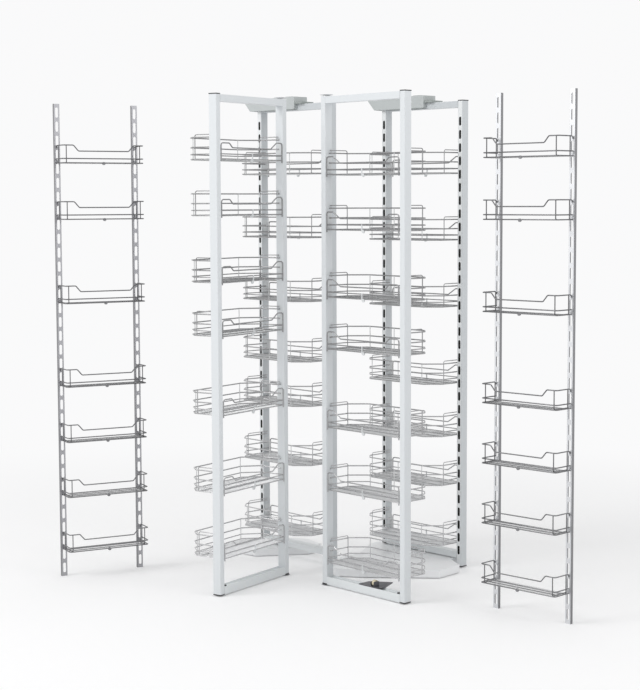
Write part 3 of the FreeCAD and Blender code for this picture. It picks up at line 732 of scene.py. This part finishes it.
def slotted_post(low, high):
    """A rounded tube whose viewer's side has a row of round-ended hook slots over a black sheet of
    painted shade inside; the slotted side is painted lighter and the other sides darker, painted light
    and shade on one paint.
    """
    flat = TUBE_WIDTH - 2 * TUBE_ROUND
    front = -TUBE_DEEP / 2
    # the slotted face takes the lighter copy of the paint: painted light
    strip = grown(PUNCHED_STRIP, bpy.data.meshes.new("none"), Width=flat, Pitch=SLOT_PITCH,
                  Count=SLOT_COUNT, First=SLOT_FIRST, Slot_long=SLOT_LONG, Slot_wide=SLOT_WIDE,
                  Material=FINISH["slotted_lit"])
    strip = moved(strip, Matrix.Translation((0, front, 0)))
    left, right = (-flat / 2, front), (flat / 2, front)
    shell = bpy.data.meshes.new("shell")
    loop = rounded_box(TUBE_WIDTH, TUBE_DEEP, TUBE_ROUND)
    spots = [(x, y, height) for height in (low, high) for x, y in loop]
    count = len(loop)
    at_front = [abs(corner[1] - front) < 1e-6 for corner in loop]
    quads = []
    for i in range(count):
        after = (i + 1) % count
        if not (at_front[i] and at_front[after]):
            quads.append((i, after, count + after, count + i))
    shell.from_pydata(spots, [], quads)
    # the sides and back take the darker copy of the paint: painted shade
    shell.materials.append(FINISH["rear"])
    ends = []
    first, last = SLOT_FIRST - SLOT_PITCH / 2, SLOT_FIRST + (SLOT_COUNT - 0.5) * SLOT_PITCH
    for bottom, top in ((low, first), (last, high)):
        patch = bpy.data.meshes.new("patch")
        patch.from_pydata([(*left, bottom), (*right, bottom), (*right, top), (*left, top)], [],
                          [(0, 1, 2, 3)])
        patch.materials.append(FINISH["slotted_lit"])
        ends.append(patch)
    # a black sheet inside the tube behind the slots: painted shade for the hollow
    shade_sheet = prism(rounded_box(flat * 0.9, SHADE_SHEET_THICK, SHADE_SHEET_THICK / 3), first, last, "inside")
    shade_sheet = moved(shade_sheet, Matrix.Translation((0, front + SHADE_SHEET_SET, 0)))
    return joined([strip, shell] + ends), shade_sheet


def turned(profile, material, steps=40):
    """A closed profile of (radius, height) points turned about the upright axis."""
    mesh = bpy.data.meshes.new("turned")
    spots, faces = [], []
    for step in range(steps):
        angle = math.tau * step / steps
        spots += [(radius * math.cos(angle), radius * math.sin(angle), height)
                  for radius, height in profile]
    count = len(profile)
    for step in range(steps):
        this, after = step * count, (step + 1) % steps * count
        for i in range(count):
            j = (i + 1) % count
            faces.append((this + i, after + i, after + j, this + j))
    mesh.from_pydata(spots, [], faces)
    shape = bmesh.new()
    shape.from_mesh(mesh)
    bmesh.ops.remove_doubles(shape, verts=shape.verts, dist=0.000001)
    bmesh.ops.recalc_face_normals(shape, faces=shape.faces)
    shape.to_mesh(mesh)
    shape.free()
    mesh.materials.append(FINISH[material])
    return mesh


def pin_outline(low, high):
    return [(0.0, low), (PIN, low), (PIN, high), (0.0, high)]


def pivot_disc():
    """The round foot plate of a front frame: a pale rim, a dark raised ring and the pin."""
    pin = turned(pin_outline(FLOOR_GAP - PIN_SEAT, FLOOR_GAP + PIN_REACH), "fitting", 24)
    return joined([turned(DISC_RIM, "fitting"), turned(DISC_RING, "socket"), pin])


def head_flange(high):
    """The flared white flange that holds a front frame's upper pin."""
    low = high - FLOOR_GAP
    flare = turned([(radius, high + drop) for radius, drop in HEAD_FLARE], "flange")
    return joined([flare, turned(pin_outline(low - PIN_REACH, low + PIN_SEAT), "fitting", 24)])


def dress_housing(name):
    """The head housing with its dark slide, the two running strips under it and the stop on its roof."""
    body, place = f"{name}_swing_frame", frame_place(name)
    shell = soften(f"{name}_top_housing", body, "housing", 0.0012).data
    shell.materials.append(FINISH["slide"])
    for face in shell.polygons:
        if (place.inverted() @ face.center).x > HOUSING_END + 0.001:
            face.material_index = 1
    trim = []
    for side in (-1, 1):
        ends = (STRIP_START, HOUSING_END - 0.006)
        inner, outer = side * STRIP_INNER, side * STRIP_OUTER
        trim.append(prism([(ends[0], inner), (ends[1], inner), (ends[1], outer), (ends[0], outer)],
                          HOUSING_LOW - STRIP_THICK, HOUSING_LOW + 0.0002, "slide"))
    stop = prism(rounded_box(*ROOF_STOP), HOUSING_HIGH - 0.0005, HOUSING_HIGH + 0.003, "slide")
    trim.append(moved(stop, Matrix.Translation((ROOF_STOP_AT, 0, 0))))
    piece(f"{name}_housing_trim", moved(joined(trim), place), body)


def dress_frames():
    """The four frames with their caps, rails, housings, bases and pivots, and the guide roller."""
    for name in ("front_left", "front_right"):
        body, place = f"{name}_swing_frame", frame_place(name)
        for post, along in (("pivot_post", 0), ("free_post", POST_SPACING)):
            node = f"{name}_{post}"
            low, high = (corner[2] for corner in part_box(node))
            mesh = moved(plain_post(low, high), place @ Matrix.Translation((along, 0, 0)))
            piece(f"{node}_tube", mesh, body, (node,))
        soften(f"{name}_top_rail", body, "frame", TUBE_ROUND / 2)
        soften(f"{name}_foot_rail", body, "rail", 0.0006)
        caps = soften(f"{name}_caps", body, "black", 0.0005).data
        caps.materials.append(FINISH["flange"])
        for face in caps.polygons:
            if face.center.z > FRAME_HIGH - 0.05 and (face.center.xy - PIVOT[name]).length < TUBE_DEEP:
                face.material_index = 1
    for name in ("rear_left", "rear_right"):
        body, place = f"{name}_swing_frame", frame_place(name)
        for post, along in (("hinge_post", 0), ("outer_post", POST_SPACING)):
            node = f"{name}_{post}"
            low, high = (corner[2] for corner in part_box(node))
            tube, shade_sheet = slotted_post(low, high)
            seat = place @ Matrix.Translation((along, 0, 0))
            piece(f"{node}_tube", moved(tube, seat), body, (node,))
            # the black sheet of painted shade inside the post
            piece(f"{node}_painted_shade_sheet", moved(shade_sheet, seat), body)
        # the top rail takes the darker copy of the paint: painted shade
        soften(f"{name}_top_rail", body, "rear", TUBE_ROUND / 2)
        soften(f"{name}_foot_rail", body, "rail", TUBE_ROUND / 2)
        soften(f"{name}_caps", body, "black", 0.0005)
        dress_housing(name)
        soften(f"{name}_floor_base", "doors_and_floor", "base", 0.0015)
    for side in ("left", "right"):
        node = f"{side}_pivot_fittings"
        discs = [moved(pivot_disc(), frame_place(f"front_{side}")),
                 moved(head_flange(FRAME_HIGH + FLOOR_GAP), frame_place(f"front_{side}"))]
        pins = [moved(prism(rounded_box(2 * PIN, 2 * PIN, PIN * 0.999, 6), bottom, top, "fitting"),
                      frame_place(f"rear_{side}")) for bottom, top in REAR_PINS]
        piece(f"{side}_pivot_turned", joined(discs + pins), "doors_and_floor", (node,))
    soften("roller_bracket", "front_right_swing_frame", "bracket", 0.0005)
    soften("guide_roller", "guide_roller", "roller", 0.0012)


# ---------------------------------------------------------------- door racks

def upright(zinc):
    """A channel whose front is punched with hook slots that show through."""
    front = -UPRIGHT_DEEP / 2
    first = RACK_HIGH / 2 - DOOR_PITCH * (SLOT_COUNT - 1) / 2
    web = grown(PUNCHED_STRIP, bpy.data.meshes.new("none"), Width=UPRIGHT_WIDE, Pitch=DOOR_PITCH,
                Count=SLOT_COUNT, First=first, Slot_long=RACK_SLOT_LONG, Slot_wide=RACK_SLOT_WIDE,
                Material=FINISH[zinc])
    web = moved(web, Matrix.Translation((0, front, 0)))
    sheet = bpy.data.meshes.new("sheet")
    low, high = first - DOOR_PITCH / 2, first + DOOR_PITCH * (SLOT_COUNT - 0.5)
    half, back = UPRIGHT_WIDE / 2, UPRIGHT_DEEP / 2
    spots, faces = [], []
    for bottom, top in ((0, low), (high, RACK_HIGH)):
        faces.append(tuple(range(len(spots), len(spots) + 4)))
        spots += [(-half, front, bottom), (half, front, bottom), (half, front, top), (-half, front, top)]
    for side in (-half, half):
        faces.append(tuple(range(len(spots), len(spots) + 4)))
        spots += [(side, front, 0), (side, back, 0), (side, back, RACK_HIGH), (side, front, RACK_HIGH)]
    sheet.from_pydata(spots, [], faces)
    sheet.materials.append(FINISH[zinc])
    sheet.materials.append(FINISH["rack_shaded_edge"])
    # the folded sides take the darker zinc: painted shade
    for fold in sheet.polygons[-2:]:
        fold.material_index = 1
    channel = joined([web, sheet])
    shape = bmesh.new()
    shape.from_mesh(channel)
    bmesh.ops.recalc_face_normals(shape, faces=shape.faces)
    shape.to_mesh(channel)
    shape.free()
    host = stand_in(channel)
    wall = host.modifiers.new("wall", "SOLIDIFY")
    wall.thickness = UPRIGHT_WALL
    wall.offset = 0
    return evaluated(host)


def door_basket_wires():
    """The wires of a door basket: dipped front rail turned back to the uprights, mid rail and floor."""
    left, right = -DOOR_OVER, RACK_SPACING + DOOR_OVER
    near, far = -DOOR_DEEP + DOOR_WIRE, -UPRIGHT_DEEP / 2 - DOOR_WIRE
    hook, shoulder, dip = DOOR_SHOULDER - DOOR_HOOK, DOOR_SHOULDER_END, DOOR_DIP_FROM
    top = [(left, far, hook), (left, far, DOOR_SHOULDER), (left, near, DOOR_SHOULDER),
           (left + shoulder, near, DOOR_SHOULDER), (left + dip, near, DOOR_DIP),
           (right - dip, near, DOOR_DIP), (right - shoulder, near, DOOR_SHOULDER),
           (right, near, DOOR_SHOULDER), (right, far, DOOR_SHOULDER), (right, far, hook)]
    middle, low = ([(left, far, level), (left, near, level), (right, near, level), (right, far, level)]
                   for level in (DOOR_MID_RAIL, DOOR_WIRE))
    rails = wires([(top, False), (middle, False), (low, False)], DOOR_WIRE, bend=DOOR_BEND,
                  material="door_wire")
    inset = 2 * DOOR_WIRE
    hoops = []
    for x in (left + DOOR_HOOP_INSET, right - DOOR_HOOP_INSET):
        hoops.append(([(x, near + inset, DOOR_SHOULDER), (x, near + inset, DOOR_WIRE),
                       (x, far, DOOR_WIRE)], False))
    for x in (left + inset, right - inset):
        hoops.append(([(x, far - DOOR_HOOK, DOOR_SHOULDER), (x, far - DOOR_HOOK, DOOR_WIRE)], False))
    stands = wires(hoops, 0.9 * DOOR_WIRE, bend=HOOP_BEND, material="door_wire")
    one = chains([([(0, near, FLOOR_WIRE), (0, far, FLOOR_WIRE)], False)])
    # The floor is a plain rectangle, so the limits for cut corners lie far outside it.
    floor = grown(FLOOR_WIRES, one, Radius=FLOOR_WIRE, Bend=FLOOR_BEND, Sides=5, Material=FINISH["mesh"],
                  Count=int((right - left) / FLOOR_PITCH), Pitch=FLOOR_PITCH,
                  First=left + FLOOR_PITCH / 2, Back=0.0, Cut=-1.0, Nick=-1.0, Far_end=1.0)
    under = [([(left, near + y, 2 * FLOOR_WIRE), (right, near + y, 2 * FLOOR_WIRE)], False)
             for y in DOOR_UNDER_WIRES]
    return joined([rails, stands, floor, wires(under, 0.8 * DOOR_WIRE, material="door_wire")])


def door_basket_tab():
    """The round tab under the middle of a door basket's front."""
    return moved(prism(rounded_box(*DOOR_TAB, 5), 0, TAB_THICK, "rack_shaded_edge"),
                 Matrix.Translation((RACK_SPACING / 2, DOOR_TAB_AT - DOOR_DEEP, 0)) @ turn(90, "X"))


def dress_racks():
    basket, tab = door_basket_wires(), door_basket_tab()
    for name in RACK_TURN:
        place = rack_place(name)
        # the left rack takes the darker copy of the zinc: painted shade
        post = upright("rack_shaded" if name == "rack_left" else "rack")
        pair = joined([moved(post, place @ Matrix.Translation((along, 0, 0)))
                       for along in (0, RACK_SPACING)])
        piece(f"{name}_uprights_punched", pair, "doors_and_floor", (f"{name}_uprights",))
        levels = [Matrix.Translation((0, 0, DOOR_FIRST + DOOR_PITCH * step)) for step in DOOR_STEPS]
        shelves = joined([moved(basket, place @ level) for level in levels])
        piece(f"{name}_baskets_wires", shelves, "doors_and_floor", (f"{name}_baskets",))
        tabs = joined([moved(tab, place @ level) for level in levels])
        piece(f"{name}_tabs", tabs, "doors_and_floor")


# ---------------------------------------------------------------- studio

def studio_floor():
    """Pale paper that keeps the larder's shadow and turns into the backdrop further out."""
    mesh = bpy.data.meshes.new("studio_floor")
    corners = [(x * PAPER_REACH, y * PAPER_REACH, 0) for x, y in ((-1, -1), (1, -1), (1, 1), (-1, 1))]
    mesh.from_pydata(corners, [], [(0, 1, 2, 3)])
    paper = bpy.data.materials.new("floor_paper")
    paper.use_nodes = True
    nodes, link = paper.node_tree.nodes, paper.node_tree.links.new
    nodes.clear()
    path = nodes.new("ShaderNodeLightPath")
    place = nodes.new("ShaderNodeTexCoord")
    distance = nodes.new("ShaderNodeVectorMath")
    distance.operation = "LENGTH"
    fade = nodes.new("ShaderNodeMapRange")
    fade.interpolation_type = "SMOOTHSTEP"
    fade.inputs["From Min"].default_value = PAPER_FADE[0]
    fade.inputs["From Max"].default_value = PAPER_FADE[1]
    matt = nodes.new("ShaderNodeBsdfDiffuse")
    matt.inputs["Color"].default_value = (*PAPER, 1)
    lift = nodes.new("ShaderNodeMath")
    lift.operation = "MULTIPLY"
    lift.inputs[1].default_value = FLOOR_LIFT
    glow = nodes.new("ShaderNodeEmission")
    both = nodes.new("ShaderNodeAddShader")
    far = nodes.new("ShaderNodeEmission")
    far.inputs["Color"].default_value = (*BACKDROP, 1)
    mix = nodes.new("ShaderNodeMixShader")
    out = nodes.new("ShaderNodeOutputMaterial")
    link(path.outputs["Is Camera Ray"], lift.inputs[0])
    link(lift.outputs[0], glow.inputs["Strength"])
    link(matt.outputs[0], both.inputs[0])
    link(glow.outputs[0], both.inputs[1])
    link(place.outputs["Object"], distance.inputs[0])
    link(distance.outputs["Value"], fade.inputs["Value"])
    link(fade.outputs["Result"], mix.inputs["Fac"])
    link(both.outputs[0], mix.inputs[1])
    link(far.outputs[0], mix.inputs[2])
    link(mix.outputs[0], out.inputs["Surface"])
    mesh.materials.append(paper)
    floor = bpy.data.objects.new("studio_floor", mesh)
    bpy.context.collection.objects.link(floor)


def studio_world():
    """Even white light for the larder, and the backdrop for the camera, for metal and for glass."""
    world = bpy.data.worlds.new("studio_world")
    bpy.context.scene.world = world
    world.use_nodes = True
    nodes, link = world.node_tree.nodes, world.node_tree.links.new
    nodes.clear()
    path = nodes.new("ShaderNodeLightPath")
    direct = nodes.new("ShaderNodeMath")
    direct.operation = "MAXIMUM"
    seen = nodes.new("ShaderNodeMath")
    seen.operation = "MAXIMUM"
    lit = nodes.new("ShaderNodeBackground")
    lit.inputs["Color"].default_value = (1, 1, 1, 1)
    lit.inputs["Strength"].default_value = WORLD_LIGHT
    shown = nodes.new("ShaderNodeBackground")
    shown.inputs["Color"].default_value = (*BACKDROP, 1)
    mix = nodes.new("ShaderNodeMixShader")
    out = nodes.new("ShaderNodeOutputWorld")
    link(path.outputs["Is Camera Ray"], direct.inputs[0])
    link(path.outputs["Is Glossy Ray"], direct.inputs[1])
    link(direct.outputs[0], seen.inputs[0])
    link(path.outputs["Is Transmission Ray"], seen.inputs[1])
    link(seen.outputs[0], mix.inputs["Fac"])
    link(lit.outputs[0], mix.inputs[1])
    link(shown.outputs[0], mix.inputs[2])
    link(mix.outputs[0], out.inputs["Surface"])


def studio_lamps():
    for name, spot, size, power in LAMPS:
        lamp = bpy.data.lights.new(name, "AREA")
        lamp.shape = "DISK"
        lamp.size = size
        lamp.energy = power
        item = bpy.data.objects.new(name, lamp)
        bpy.context.collection.objects.link(item)
        item.location = spot
        item.rotation_euler = (LAMP_AIM - Vector(spot)).to_track_quat("-Z", "Y").to_euler()


def studio_camera():
    """The camera where the photograph was taken from."""
    camera = bpy.data.cameras.new("camera")
    camera.sensor_fit = "HORIZONTAL"
    camera.sensor_width = SENSOR
    camera.lens = LENS
    eye = bpy.data.objects.new("camera", camera)
    bpy.context.collection.objects.link(eye)
    eye.location = EYE - PLAN_MID.to_3d()
    eye.rotation_euler = (turn(90 + PITCH, "X") @ turn(ROLL, "Z")).to_euler()
    bpy.context.scene.camera = eye
    bpy.context.scene.view_settings.view_transform = "Standard"


hang_frame_baskets()
dress_frames()
dress_racks()
studio_floor()
studio_world()
studio_lamps()
studio_camera()
